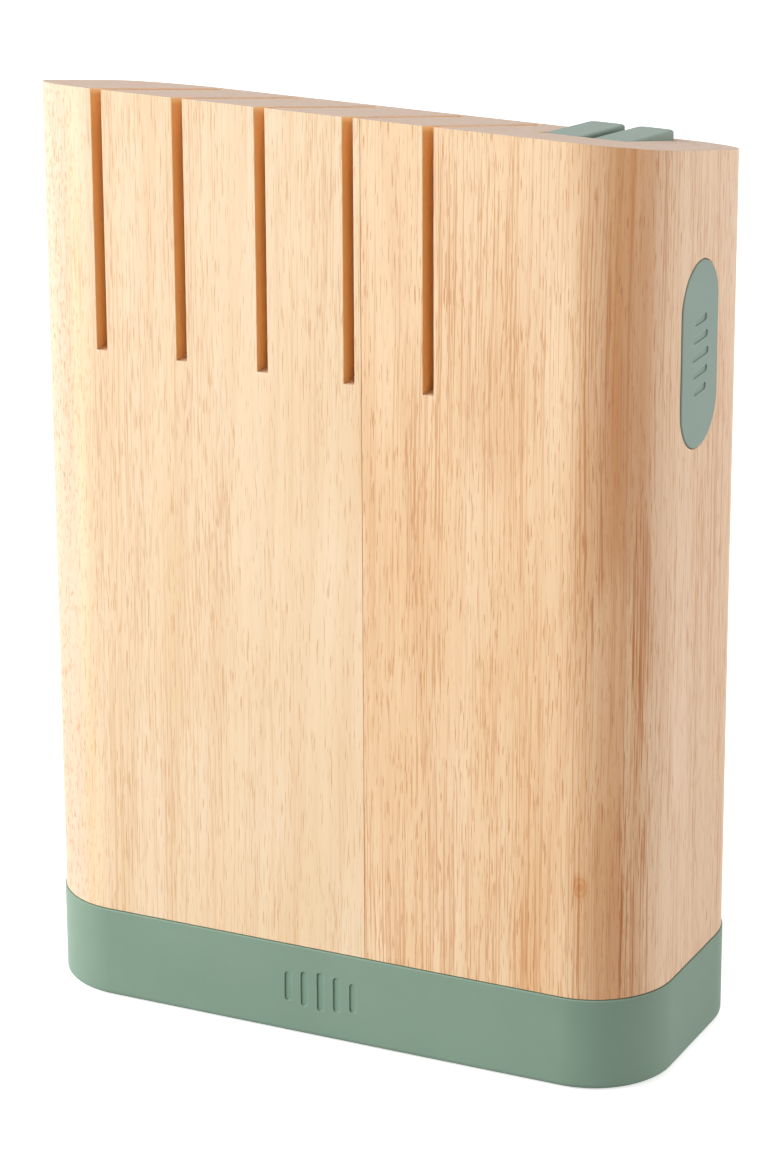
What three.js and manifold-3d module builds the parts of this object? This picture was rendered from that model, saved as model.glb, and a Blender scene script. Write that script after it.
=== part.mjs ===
// A knife block: a laminated rubberwood block with five open blade slots, seated in a
// moulded base tray, with a drop-in pull-through sharpener at the rear right of its top
// and a stadium-shaped plate on its right face.
// Millimetres, +Z up. The front faces -Y. The origin is on the ground, under the middle.
import * as THREE from 'three';
import { mergeVertices } from 'three/addons/utils/BufferGeometryUtils.js';
import Module from 'manifold-3d';

const wasm = await Module();
wasm.setup();

// ---- Driving dimensions -------------------------------------------------------------

const FRONT_HEIGHT = 286;        // ground to the top of the front face
const BLOCK_DEPTH = 85.2;        // front face to back face
const TOP_FALL = 12.6;           // degrees that the top falls towards the back
const CORNER_RADIUS = 25;        // the four upright corners, in plan

const SLOT_COUNT = 5;
const SLOT_WIDTH = 3.4;
const SLOT_PITCH = 26.2;
const SLOT_OPEN_LENGTH = 78;     // how far each slot is open down the front face
const FIRST_SLOT = 27.9;         // left face to the middle of the first slot
const JOINT_SLOT = 3;            // the joint between the front staves is beside this slot
const JOINT_SLOT_SHIFT = 1.4;    // which sits this much to the right of its even place
const JOINT_LAND = 2.2;          // wood between that slot and the joint

const FRONT_BOARD = 12;          // thickness of the front lamination
const BACK_BOARD = 6.5;          // thickness of the back lamination
const BACK_JOINT = 88;           // left face to the joint between the back staves
const GLUE_LINE = 0.1;           // gap between glued laminations

const TRAY_HEIGHT = 29.3;        // ground to the tray's rim
const TRAY_WALL = 2.4;
const TRAY_FLOOR = 3;
const TRAY_PROUD = 0.4;          // the tray stands this far outside the wood
const TRAY_FIT = 0.3;            // clearance between the tray's wall and the block's foot
const RIM_GAP = 0.4;             // shadow line between the rim and the block's shoulder
const SEAT_GAP = 0.1;            // the block's foot above the tray's floor

const PAD_RADIUS = 8;
const PAD_THICKNESS = 1.8;
const PAD_PROUD = 0.6;           // how far the pads stand below the tray
const PAD_INSET = 22;            // tray side to pad centre
const PAD_FIT = 0.3;

const SLOT_TO_POCKET = 14.9;     // wood between the last slot and the sharpener's pocket
const POCKET_TO_SIDE = 23.4;     // wood between the pocket and the right face
const POCKET_BACK_WALL = 2.4;    // wood between the pocket and the back lamination
const CHEEK_WIDTH = 11.5;        // each of the sharpener's two cheeks
const GROOVE_WIDTH = 3.7;
const GROOVE_DEPTH = 24;         // at the sharpener's back end, as its height is
const SHARPENER_LENGTH = 39.5;
const SHARPENER_HEIGHT = 44;
const SHARPENER_FALL = 7.3;      // degrees that its top falls towards the back
const SHARPENER_PROUD = 3.2;     // its top above the wood at its back end
const CHEEK_CORNER = 2.5;
const POCKET_FIT = 0.3;

const ROD_RADIUS = 2;
const ROD_LENGTH = 22;
const ROD_TILT = 20;             // degrees from upright, one rod each way
const ROD_ROOT = 4;              // length of each rod below the point where they cross
const ROD_CROSSING = 1;          // that point above the groove's floor
const ROD_FIT = 0.3;
const SCREW_RADIUS = 1.4;
const SCREW_HEAD_RADIUS = 2.7;
const SCREW_HEAD_LENGTH = 1.8;
const SCREW_HEAD_LAND = 0.4;     // straight edge of the countersunk head
const SCREW_LENGTH = 20;
const SCREW_SPACING = 24;
const SCREW_HEIGHT = 8;          // above the sharpener's underside
const SCREW_FIT = 0.3;

const PLATE_LENGTH = 55;
const PLATE_WIDTH = 27;
const PLATE_THICKNESS = 2;
const PLATE_PROUD = 0.35;
const PLATE_DROP = 40;           // front top edge down to the top of the plate
const PLATE_SETBACK = 37;        // front face to the plate's centre line
const PLATE_FIT = 0.3;
const PEG_RADIUS = 2.5;
const PEG_LENGTH = 6;
const PEG_SPACING = 26;

const ARC_SEGMENTS = 12;
const ROUND_SEGMENTS = 32;

// ---- Sizes that follow from them ----------------------------------------------------

const slotCentres = Array.from({ length: SLOT_COUNT }, (_, i) =>
  FIRST_SLOT + i * SLOT_PITCH + (i === JOINT_SLOT ? JOINT_SLOT_SHIFT : 0));
const lastSlotWall = slotCentres[SLOT_COUNT - 1] + SLOT_WIDTH / 2;
const sharpenerWidth = 2 * CHEEK_WIDTH + GROOVE_WIDTH;
const pocketWidth = sharpenerWidth + 2 * POCKET_FIT;
const blockWidth = lastSlotWall + SLOT_TO_POCKET + pocketWidth + POCKET_TO_SIDE;

// X of a distance from the left face, and Y of a distance from the front face.
const acrossFrom = (left) => left - blockWidth / 2;
const backFrom = (front) => front - BLOCK_DEPTH / 2;
const topHeight = (front) => FRONT_HEIGHT - Math.tan(THREE.MathUtils.degToRad(TOP_FALL)) * front;

const trayFloorTop = PAD_PROUD + TRAY_FLOOR;
const footBottom = trayFloorTop + SEAT_GAP;
const shoulder = TRAY_HEIGHT + RIM_GAP;
const footInset = TRAY_WALL - TRAY_PROUD + TRAY_FIT;
const slotBottom = FRONT_HEIGHT - SLOT_OPEN_LENGTH;
const frontJoint = slotCentres[JOINT_SLOT] + SLOT_WIDTH / 2 + JOINT_LAND;

const backBoardFront = BLOCK_DEPTH - BACK_BOARD;
const pocketBack = backBoardFront - POCKET_BACK_WALL;
const pocketFront = pocketBack - SHARPENER_LENGTH - 2 * POCKET_FIT;
const pocketLeft = lastSlotWall + SLOT_TO_POCKET;
const sharpenerTop = topHeight(pocketBack) + SHARPENER_PROUD;
const sharpenerBottom = sharpenerTop - SHARPENER_HEIGHT;

// Taller and wider than anything here, for cutting tools.
const REACH = 2 * (FRONT_HEIGHT + blockWidth);

// ---- Solids -------------------------------------------------------------------------

function toSolid(geometry) {
  const bare = geometry.clone();
  bare.deleteAttribute('normal');
  bare.deleteAttribute('uv');
  const merged = mergeVertices(bare, 1e-4);
  return new wasm.Manifold(new wasm.Mesh({
    numProp: 3,
    vertProperties: new Float32Array(merged.attributes.position.array),
    triVerts: new Uint32Array(merged.index.array),
  }));
}

function toGeometry(solid) {
  const mesh = solid.getMesh();
  const geometry = new THREE.BufferGeometry();
  geometry.setAttribute('position', new THREE.BufferAttribute(mesh.vertProperties, 3));
  geometry.setIndex(new THREE.BufferAttribute(mesh.triVerts, 1));
  geometry.computeVertexNormals();
  return geometry;
}

// An upright-cornered box between two corner points.
function box(low, high) {
  const size = high.map((value, i) => value - low[i]);
  const middle = high.map((value, i) => (value + low[i]) / 2);
  return toSolid(new THREE.BoxGeometry(...size).translate(...middle));
}

function roundedRectangle(width, depth, radius) {
  const x = width / 2 - radius;
  const y = depth / 2 - radius;
  const shape = new THREE.Shape();
  shape.moveTo(x, -y - radius);
  shape.absarc(x, -y, radius, -Math.PI / 2, 0, false);
  shape.absarc(x, y, radius, 0, Math.PI / 2, false);
  shape.absarc(-x, y, radius, Math.PI / 2, Math.PI, false);
  shape.absarc(-x, -y, radius, Math.PI, 1.5 * Math.PI, false);
  shape.closePath();
  return shape;
}

// The rounded rectangle as a prism, from one height to another.
function roundedPrism(width, depth, radius, bottom, top) {
  const geometry = new THREE.ExtrudeGeometry(roundedRectangle(width, depth, radius), {
    depth: top - bottom,
    bevelEnabled: false,
    curveSegments: ARC_SEGMENTS,
  });
  return toSolid(geometry.translate(0, 0, bottom));
}

// A rod along Z, centred on the origin.
function rod(radius, length) {
  return new THREE.CylinderGeometry(radius, radius, length, ROUND_SEGMENTS).rotateX(Math.PI / 2);
}

function placed(geometry, object) {
  object.updateMatrix();
  return toSolid(geometry.clone().applyMatrix4(object.matrix));
}

// All that lies above a plane that passes through a height at one Y and falls towards +Y.
function wedgeAbove(y, height, fall) {
  const wedge = new THREE.BoxGeometry(REACH, REACH, REACH).translate(0, 0, REACH / 2);
  wedge.rotateX(-THREE.MathUtils.degToRad(fall));
  return toSolid(wedge.translate(0, y, height));
}

// ---- Materials ----------------------------------------------------------------------

const finish = (color, roughness) => new THREE.MeshStandardMaterial({ color, roughness, metalness: 0 });
const lightWood = () => finish('#f0dab4', 0.55);
const honeyWood = () => finish('#e8c493', 0.55);
const innerWood = () => finish('#d9b183', 0.6);
const greenPlastic = () => finish('#8aa392', 0.6);
const darkRubber = () => finish('#4c5450', 0.85);
const whiteCeramic = () => finish('#eeeae0', 0.35);
const steel = () => new THREE.MeshStandardMaterial({ color: '#b9bcc0', roughness: 0.35, metalness: 1 });

const knifeBlock = new THREE.Group();
const base = new THREE.Group();
const block = new THREE.Group();
const sharpener = new THREE.Group();
knifeBlock.add(base, block, sharpener);

function addPart(group, name, geometry, material) {
  const mesh = new THREE.Mesh(geometry, material);
  mesh.name = name;
  group.add(mesh);
  return mesh;
}

// ---- Base tray and its pads ---------------------------------------------------------

const trayWidth = blockWidth + 2 * TRAY_PROUD;
const trayDepth = BLOCK_DEPTH + 2 * TRAY_PROUD;
const padCentres = [];
for (const [name, side, end] of [
  ['front_left', -1, -1], ['front_right', 1, -1], ['rear_left', -1, 1], ['rear_right', 1, 1],
]) {
  padCentres.push({ name, x: side * (trayWidth / 2 - PAD_INSET), y: end * (trayDepth / 2 - PAD_INSET) });
}

function makeTray() {
  const outside = roundedPrism(trayWidth, trayDepth, CORNER_RADIUS + TRAY_PROUD, PAD_PROUD, TRAY_HEIGHT);
  const inside = roundedPrism(
    trayWidth - 2 * TRAY_WALL, trayDepth - 2 * TRAY_WALL,
    CORNER_RADIUS + TRAY_PROUD - TRAY_WALL, trayFloorTop, TRAY_HEIGHT + TRAY_FLOOR);
  let tray = outside.subtract(inside);
  const recessTop = PAD_THICKNESS + GLUE_LINE;
  for (const pad of padCentres) {
    const recess = rod(PAD_RADIUS + PAD_FIT, 2 * recessTop).translate(pad.x, pad.y, 0);
    tray = tray.subtract(toSolid(recess));
  }
  return toGeometry(tray);
}

addPart(base, 'base_tray', makeTray(), greenPlastic());
for (const pad of padCentres) {
  const mesh = addPart(base, `pad_${pad.name}`, rod(PAD_RADIUS, PAD_THICKNESS), darkRubber());
  mesh.position.set(pad.x, pad.y, PAD_THICKNESS / 2);
}

// ---- Laminated block ----------------------------------------------------------------

// The whole block before it is divided: a full-size body above the tray's rim, a foot
// that is inset to sit inside the tray, and a top that falls towards the back.
function makeBlank() {
  const body = roundedPrism(blockWidth, BLOCK_DEPTH, CORNER_RADIUS, shoulder, FRONT_HEIGHT);
  const foot = roundedPrism(
    blockWidth - 2 * footInset, BLOCK_DEPTH - 2 * footInset,
    CORNER_RADIUS - footInset, footBottom, shoulder + footInset);
  return body.add(foot).subtract(wedgeAbove(backFrom(0), FRONT_HEIGHT, TOP_FALL));
}

const blank = makeBlank();

// The part of the blank between two distances from the left face and two from the front.
function stave(left, right, front, back) {
  return blank.intersect(box(
    [acrossFrom(left), backFrom(front), -REACH],
    [acrossFrom(right), backFrom(back), REACH]));
}

const halfGlue = GLUE_LINE / 2;
const beyond = CORNER_RADIUS;
const frontLayer = [-beyond, FRONT_BOARD - halfGlue];
const middleLayer = [FRONT_BOARD + halfGlue, backBoardFront - halfGlue];
const backLayer = [backBoardFront + halfGlue, BLOCK_DEPTH + beyond];

// The slots' openings down the front face.
function cutFrontSlots(solid) {
  return slotCentres.reduce((rest, centre) => rest.subtract(box(
    [acrossFrom(centre - SLOT_WIDTH / 2), backFrom(-beyond), slotBottom],
    [acrossFrom(centre + SLOT_WIDTH / 2), backFrom(FRONT_BOARD + beyond), REACH])), solid);
}

addPart(block, 'front_stave_left',
  toGeometry(cutFrontSlots(stave(-beyond, frontJoint - halfGlue, ...frontLayer))), lightWood());
addPart(block, 'front_stave_right',
  toGeometry(cutFrontSlots(stave(frontJoint + halfGlue, blockWidth + beyond, ...frontLayer))), honeyWood());

addPart(block, 'left_stave',
  toGeometry(stave(-beyond, slotCentres[0] - SLOT_WIDTH / 2, ...middleLayer)), lightWood());
for (let i = 1; i < SLOT_COUNT; i += 1) {
  const left = slotCentres[i - 1] + SLOT_WIDTH / 2;
  const right = slotCentres[i] - SLOT_WIDTH / 2;
  addPart(block, `divider_${i}`, toGeometry(stave(left, right, ...middleLayer)), innerWood());
}

function stadium(width, length) {
  const shape = new THREE.Shape();
  const straight = (length - width) / 2;
  shape.moveTo(width / 2, -straight);
  shape.absarc(0, straight, width / 2, 0, Math.PI, false);
  shape.absarc(0, -straight, width / 2, Math.PI, 2 * Math.PI, false);
  shape.closePath();
  return shape;
}

// The plate with its two pegs, lying in XY with its outer face up; grow widens it all
// round, to cut the recess that it sits in.
function makePlate(grow) {
  const slab = new THREE.ExtrudeGeometry(stadium(PLATE_WIDTH + 2 * grow, PLATE_LENGTH + 2 * grow), {
    depth: PLATE_THICKNESS + grow,
    bevelEnabled: false,
    curveSegments: ARC_SEGMENTS,
  });
  let plate = toSolid(slab.translate(0, 0, -PLATE_THICKNESS - grow));
  const pegDepth = PEG_LENGTH + PLATE_THICKNESS / 2 + grow;
  for (const end of [-1, 1]) {
    const peg = rod(PEG_RADIUS + grow, pegDepth);
    const middle = -PLATE_THICKNESS / 2 - pegDepth / 2;
    plate = plate.add(toSolid(peg.translate(0, end * PEG_SPACING / 2, middle)));
  }
  return toGeometry(plate);
}

// Turned to face +X with its length upright, on the block's right face.
function placePlate(object) {
  object.quaternion.setFromRotationMatrix(new THREE.Matrix4().makeBasis(
    new THREE.Vector3(0, 1, 0), new THREE.Vector3(0, 0, 1), new THREE.Vector3(1, 0, 0)));
  object.position.set(
    acrossFrom(blockWidth) + PLATE_PROUD,
    backFrom(PLATE_SETBACK),
    FRONT_HEIGHT - PLATE_DROP - PLATE_LENGTH / 2);
  return object;
}

function makeRightStave() {
  const solid = stave(lastSlotWall, blockWidth + beyond, ...middleLayer);
  const pocket = box(
    [acrossFrom(pocketLeft), backFrom(pocketFront), sharpenerBottom - POCKET_FIT],
    [acrossFrom(pocketLeft + pocketWidth), backFrom(pocketBack), REACH]);
  const recess = placed(makePlate(PLATE_FIT), placePlate(new THREE.Object3D()));
  return toGeometry(solid.subtract(pocket).subtract(recess));
}

addPart(block, 'right_stave', makeRightStave(), honeyWood());
addPart(block, 'back_stave_left',
  toGeometry(stave(-beyond, BACK_JOINT - halfGlue, ...backLayer)), lightWood());
addPart(block, 'back_stave_right',
  toGeometry(stave(BACK_JOINT + halfGlue, blockWidth + beyond, ...backLayer)), honeyWood());
placePlate(addPart(block, 'side_plate', makePlate(0), greenPlastic()));

// ---- Drop-in sharpener --------------------------------------------------------------

// Its own frame: X across the groove, Y along it, Z up from the underside.
sharpener.position.set(
  acrossFrom(pocketLeft + pocketWidth / 2),
  backFrom(pocketBack - POCKET_FIT - SHARPENER_LENGTH / 2),
  sharpenerBottom);

const grooveFloor = SHARPENER_HEIGHT - GROOVE_DEPTH;

// The rods cross low in the groove, one just behind the other, and lean out into the
// cheeks, which leaves a V between them for the blade's edge.
const rodGap = ROD_RADIUS + ROD_FIT;
const rods = [['ceramic_rod_front', -1], ['ceramic_rod_rear', 1]].map(([name, side]) => {
  const mesh = addPart(sharpener, name, rod(ROD_RADIUS, ROD_LENGTH), whiteCeramic());
  mesh.rotation.y = side * THREE.MathUtils.degToRad(ROD_TILT);
  mesh.position.set(0, side * rodGap, grooveFloor + ROD_CROSSING);
  mesh.translateZ(ROD_LENGTH / 2 - ROD_ROOT);
  return mesh;
});

// A countersunk screw along X, with the face of its head at the origin; grow widens it
// all round, to cut its hole.
function makeScrew(grow) {
  const head = SCREW_HEAD_RADIUS + grow;
  const shank = SCREW_RADIUS + grow;
  const profile = [
    [0, -SCREW_LENGTH - grow], [shank, -SCREW_LENGTH - grow], [shank, -SCREW_HEAD_LENGTH],
    [head, -SCREW_HEAD_LAND], [head, grow], [0, grow],
  ].map(([x, y]) => new THREE.Vector2(x, y));
  return new THREE.LatheGeometry(profile, ROUND_SEGMENTS).rotateZ(-Math.PI / 2);
}

const screws = [['screw_front', -1], ['screw_rear', 1]].map(([name, side]) => {
  const mesh = addPart(sharpener, name, makeScrew(0), steel());
  mesh.position.set(sharpenerWidth / 2, side * SCREW_SPACING / 2, SCREW_HEIGHT);
  return mesh;
});

// One half: a cheek the full height of the sharpener, and a foot that reaches under the
// groove to the other half.
function makeHalf(side) {
  const cheekMiddle = side * (GROOVE_WIDTH + CHEEK_WIDTH) / 2;
  const cheek = roundedPrism(CHEEK_WIDTH, SHARPENER_LENGTH, CHEEK_CORNER, 0, 2 * SHARPENER_HEIGHT)
    .translate([cheekMiddle, 0, 0])
    .subtract(wedgeAbove(SHARPENER_LENGTH / 2, SHARPENER_HEIGHT, SHARPENER_FALL));
  const inner = side * halfGlue;
  const outer = side * (GROOVE_WIDTH + CHEEK_WIDTH) / 2;
  const foot = box(
    [Math.min(inner, outer), -SHARPENER_LENGTH / 2 + CHEEK_CORNER, 0],
    [Math.max(inner, outer), SHARPENER_LENGTH / 2 - CHEEK_CORNER, grooveFloor]);
  let half = cheek.add(foot);
  for (const mesh of rods) {
    half = half.subtract(placed(rod(ROD_RADIUS + ROD_FIT, ROD_LENGTH + 2 * ROD_FIT), mesh));
  }
  for (const mesh of screws) {
    half = half.subtract(placed(makeScrew(SCREW_FIT), mesh));
  }
  return toGeometry(half);
}

addPart(sharpener, 'sharpener_half_left', makeHalf(-1), greenPlastic());
addPart(sharpener, 'sharpener_half_right', makeHalf(1), greenPlastic());

export default knifeBlock;
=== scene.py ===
# %% [markdown]
# # A wooden knife block
#
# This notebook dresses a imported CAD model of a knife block: a laminated rubberwood block
# that stands in a sage green tray, with a drop-in sharpener at the rear right of its top.
# The CAD says where everything is and how it moves. Here each visible piece is modelled
# again with softer edges, and gets the finish of the real thing.

import math

import bmesh
import bpy
from mathutils import Matrix, Vector


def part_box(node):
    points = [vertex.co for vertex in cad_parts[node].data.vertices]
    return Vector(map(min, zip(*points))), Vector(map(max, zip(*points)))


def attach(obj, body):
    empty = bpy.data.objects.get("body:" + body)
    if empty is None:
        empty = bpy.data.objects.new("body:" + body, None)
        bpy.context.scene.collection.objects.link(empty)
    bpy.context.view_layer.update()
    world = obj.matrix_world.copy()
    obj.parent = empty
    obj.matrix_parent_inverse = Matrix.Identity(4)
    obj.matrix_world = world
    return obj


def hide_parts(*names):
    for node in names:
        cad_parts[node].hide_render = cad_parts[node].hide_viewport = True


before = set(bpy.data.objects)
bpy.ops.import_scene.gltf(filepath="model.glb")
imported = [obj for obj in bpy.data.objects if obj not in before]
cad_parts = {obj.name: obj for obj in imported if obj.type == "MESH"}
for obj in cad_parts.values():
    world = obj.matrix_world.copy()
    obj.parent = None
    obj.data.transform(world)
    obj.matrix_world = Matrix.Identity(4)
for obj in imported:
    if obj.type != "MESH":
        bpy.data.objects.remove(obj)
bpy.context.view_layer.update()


def mm(value):
    """Millimetres, in metres."""
    return value / 1000


# %% [markdown]
# ## The camera
#
# A product shot is taken from a step back with a long lens, so that the upright edges
# stay almost parallel. The camera looks a little down and from the right. Its place is
# given by where it stands and by three angles, which is easier to adjust than a target.

# %% Camera
CAMERA_PLACE = (0.5462, -1.1476, 0.5951)
CAMERA_YAW = math.radians(25.44)
CAMERA_PITCH = math.radians(20.02)
CAMERA_ROLL = math.radians(-0.23)

camera_data = bpy.data.cameras.new("camera")
camera_data.lens = 139.19
camera_data.sensor_width = 36
camera_data.clip_end = 20
camera = bpy.data.objects.new("camera", camera_data)
turn = (Matrix.Rotation(CAMERA_YAW, 4, "Z")
        @ Matrix.Rotation(math.pi / 2 - CAMERA_PITCH, 4, "X")
        @ Matrix.Rotation(CAMERA_ROLL, 4, "Z"))
camera.matrix_world = Matrix.Translation(CAMERA_PLACE) @ turn
bpy.context.scene.collection.objects.link(camera)
bpy.context.scene.camera = camera
print("camera at", CAMERA_PLACE, "with a", camera_data.lens, "mm lens")

# %% [markdown]
# ## Node helpers
#
# The materials are built from texture nodes. These helpers add a node with its settings
# and its inputs in one line, so that a group reads like the list of layers it is.

# %% Node helpers
def add(tree, kind, inputs=None, **settings):
    node = tree.nodes.new(kind)
    for name, value in settings.items():
        setattr(node, name, value)
    for name, value in (inputs or {}).items():
        if isinstance(value, bpy.types.NodeSocket):
            tree.links.new(value, node.inputs[name])
        else:
            node.inputs[name].default_value = value
    return node


def calc(tree, operation, *values, clamp=False):
    """A Math node's result."""
    return add(tree, "ShaderNodeMath", dict(enumerate(values)),
               operation=operation, use_clamp=clamp).outputs[0]


def mix(tree, factor, first, second, blend="MIX"):
    """A colour mix: 0 gives the first colour, 1 the second."""
    node = add(tree, "ShaderNodeMix", data_type="RGBA", blend_type=blend)
    for place, value in ((0, factor), (6, first), (7, second)):
        if isinstance(value, bpy.types.NodeSocket):
            tree.links.new(value, node.inputs[place])
        else:
            node.inputs[place].default_value = value
    return node.outputs[2]


def step(tree, value, low, high):
    """0 below low, 1 above high, and a smooth ramp between them."""
    node = add(tree, "ShaderNodeMapRange", {"Value": value, "From Min": low, "From Max": high},
               interpolation_type="SMOOTHSTEP")
    return node.outputs["Result"]


def noise(tree, vector, across, along, detail=2.0, roughness=0.5):
    """Noise with features 1/across metres wide and 1/along metres long, along Z."""
    stretched = add(tree, "ShaderNodeMapping",
                    {"Vector": vector, "Scale": (across, across, along)}).outputs[0]
    return add(tree, "ShaderNodeTexNoise",
               {"Vector": stretched, "Scale": 1.0, "Detail": detail, "Roughness": roughness})


def new_group(name, inputs, outputs):
    """An empty node group with named sockets: the tree, its inputs' node and its outputs' node."""
    tree = bpy.data.node_groups.new(name, "ShaderNodeTree")
    for label, kind, value in inputs:
        socket = tree.interface.new_socket(label, in_out="INPUT", socket_type="NodeSocket" + kind)
        socket.default_value = value
    for label, kind in outputs:
        tree.interface.new_socket(label, in_out="OUTPUT", socket_type="NodeSocket" + kind)
    return tree, tree.nodes.new("NodeGroupInput").outputs, tree.nodes.new("NodeGroupOutput").inputs


# %% [markdown]
# ## Floor and light
#
# The block stands on a plain white sweep. A white sweep that is bright enough to look
# white also throws light up at the object and flattens it, and studios fight that with
# black cards. Here the floor and the sky look white to the eye and in reflections, while
# the light they bounce onto matt surfaces is held back, as the cards would do. A large
# soft box at the front left lights the front, a narrower one straight out to the right
# lights the side, and the rounded corner between them stays darker, which is what shows
# its shape. A weak strip at the left and a box behind keep the far edges from going dead.

# %% Floor
def white_surface(tree, color, glow):
    """A matt grey-to-white surface that also gives off a little light of its own."""
    shader = add(tree, "ShaderNodeBsdfPrincipled")
    shader.inputs["Base Color"].default_value = (color, color, color, 1)
    shader.inputs["Roughness"].default_value = 1
    shader.inputs["Specular IOR Level"].default_value = 0
    shader.inputs["Emission Color"].default_value = (1, 1, 1, 1)
    shader.inputs["Emission Strength"].default_value = glow
    return shader.outputs[0]


sweep = bpy.data.materials.new("white_sweep")
sweep.use_nodes = True
tree = sweep.node_tree
carded = add(tree, "ShaderNodeLightPath").outputs["Is Diffuse Ray"]
sweep_mix = add(tree, "ShaderNodeMixShader", {0: carded, 1: white_surface(tree, 0.97, 0.62),
                                              2: white_surface(tree, 0.28, 0.03)})
tree.links.new(sweep_mix.outputs[0], tree.nodes["Material Output"].inputs["Surface"])

FLOOR_SIZE = 12
bm = bmesh.new()
bmesh.ops.create_grid(bm, x_segments=1, y_segments=1, size=FLOOR_SIZE / 2)
floor_mesh = bpy.data.meshes.new("floor")
bm.to_mesh(floor_mesh)
bm.free()
floor_mesh.materials.append(sweep)
floor = bpy.data.objects.new("floor", floor_mesh)
bpy.context.scene.collection.objects.link(floor)
print("floor", FLOOR_SIZE, "m across")

# %% Lights
scene = bpy.context.scene
scene.view_settings.view_transform = "Standard"
world = bpy.data.worlds.new("studio")
world.use_nodes = True
tree = world.node_tree
seen = add(tree, "ShaderNodeBackground", {"Color": (1, 1, 1, 1), "Strength": 1.0}).outputs[0]
fill = add(tree, "ShaderNodeBackground", {"Color": (1, 1, 1, 1), "Strength": 0.18}).outputs[0]
sky = add(tree, "ShaderNodeMixShader",
          {0: add(tree, "ShaderNodeLightPath").outputs["Is Diffuse Ray"], 1: seen, 2: fill})
tree.links.new(sky.outputs[0], tree.nodes["World Output"].inputs["Surface"])
scene.world = world

BLOCK_MIDDLE = Vector((0, 0, 0.14))


def soft_box(name, azimuth, elevation, distance, size, power, color=(1, 1, 1)):
    """An area light that faces the block; azimuth 0 is in front of it, 90 is at its right.

    Angles are in degrees, the distance and the (width, height) in metres, power in watts.
    """
    light = bpy.data.lights.new(name, "AREA")
    light.shape = "RECTANGLE"
    light.size, light.size_y = size
    light.energy = power
    light.color = color
    lamp = bpy.data.objects.new(name, light)
    turned, raised = math.radians(azimuth), math.radians(elevation)
    away = Vector((math.sin(turned) * math.cos(raised),
                   -math.cos(turned) * math.cos(raised),
                   math.sin(raised)))
    lamp.location = BLOCK_MIDDLE + away * distance
    lamp.rotation_euler = away.to_track_quat("Z", "Y").to_euler()
    scene.collection.objects.link(lamp)
    print(name, "at", azimuth, "degrees,", power, "W")


soft_box("key_box", -50, 24, 2.0, (1.5, 1.4), 58)
soft_box("side_box", 90, 14, 2.0, (0.9, 1.4), 22, (1.0, 0.96, 0.97))
soft_box("left_strip", -112, 18, 1.6, (0.6, 1.4), 2)
soft_box("back_box", 175, 50, 2.0, (1.6, 1.0), 7)

# %% [markdown]
# ## Modelling helpers
#
# Most pieces here are prisms with rounded upright corners, so one helper draws a rounded
# outline (a grid face whose four corners are bevelled) and another lofts a closed solid
# through a stack of them with bridge_loops. A third slices a solid with bisect_plane and
# closes the cut. Pockets and holes are routed out with a Boolean modifier that is applied
# at once, because that is also how a workshop makes them: shape first, holes afterwards.

# %% Outlines, lofts and slices
ARC_SEGMENTS = 20


def outline(bm, width, depth, radius, height):
    """The edges of a rounded rectangle round the origin, at one height."""
    corners = bmesh.ops.create_grid(bm, x_segments=1, y_segments=1, size=0.5)["verts"]
    bmesh.ops.scale(bm, vec=(width, depth, 1), verts=corners)
    bmesh.ops.translate(bm, vec=(0, 0, height), verts=corners)
    before = set(bm.verts) - set(corners)
    bmesh.ops.bevel(bm, geom=corners, offset=radius, offset_type="OFFSET", segments=ARC_SEGMENTS,
                    profile=0.5, affect="VERTICES", material=-1, clamp_overlap=False)
    ring = [vert for vert in bm.verts if vert not in before]
    face = next(face for face in bm.faces if set(face.verts) == set(ring))
    edges = list(face.edges)
    bmesh.ops.delete(bm, geom=[face], context="FACES_ONLY")
    return edges


RING_SPACING = 0.1


def loft(sections):
    """A closed solid through rounded outlines, each (width, depth, radius, height).

    The outlines start well apart, one above the other, because two at the same height
    can't be bridged cleanly. Each moves to its own height once the sides are on.
    """
    bm = bmesh.new()
    rings = [outline(bm, width, depth, radius, number * RING_SPACING)
             for number, (width, depth, radius, height) in enumerate(sections)]
    for lower, upper in zip(rings, rings[1:]):
        bmesh.ops.bridge_loops(bm, edges=lower + upper)
    for ring in (rings[0], rings[-1]):
        bmesh.ops.contextual_create(bm, geom=ring)
    for number, (ring, section) in enumerate(zip(rings, sections)):
        verts = list({vert for edge in ring for vert in edge.verts})
        bmesh.ops.translate(bm, vec=(0, 0, section[3] - number * RING_SPACING), verts=verts)
    bmesh.ops.recalc_face_normals(bm, faces=bm.faces[:])
    return bm


def slice_off(bm, point, outward):
    """Cuts away what lies past a plane, and closes the cut."""
    cut = bmesh.ops.bisect_plane(bm, geom=bm.verts[:] + bm.edges[:] + bm.faces[:], dist=1e-7,
                                 plane_co=point, plane_no=outward, clear_outer=True)
    rim = [item for item in cut["geom_cut"] if isinstance(item, bmesh.types.BMEdge)]
    if rim:
        bmesh.ops.contextual_create(bm, geom=rim)
    return bm


def between(bm, axis, low, high):
    """Keeps the part of a solid between two places along an axis."""
    direction = Vector((0, 0, 0))
    direction[axis] = 1
    slice_off(bm, direction * high, direction)
    slice_off(bm, direction * low, -direction)
    return bm


def brick(low, high):
    """A box between two corners, used as a cutting tool."""
    bm = bmesh.new()
    bmesh.ops.create_cube(bm, size=1)
    size = Vector(high) - Vector(low)
    bmesh.ops.scale(bm, vec=size, verts=bm.verts[:])
    bmesh.ops.translate(bm, vec=(Vector(low) + Vector(high)) / 2, verts=bm.verts[:])
    return bm


# %% Cutting and joining
def loose_object(bm):
    """An object that holds a solid while it is cut."""
    mesh = bpy.data.meshes.new("bench")
    bm.to_mesh(mesh)
    made = bpy.data.objects.new("bench", mesh)
    scene.collection.objects.link(made)
    return made


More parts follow.
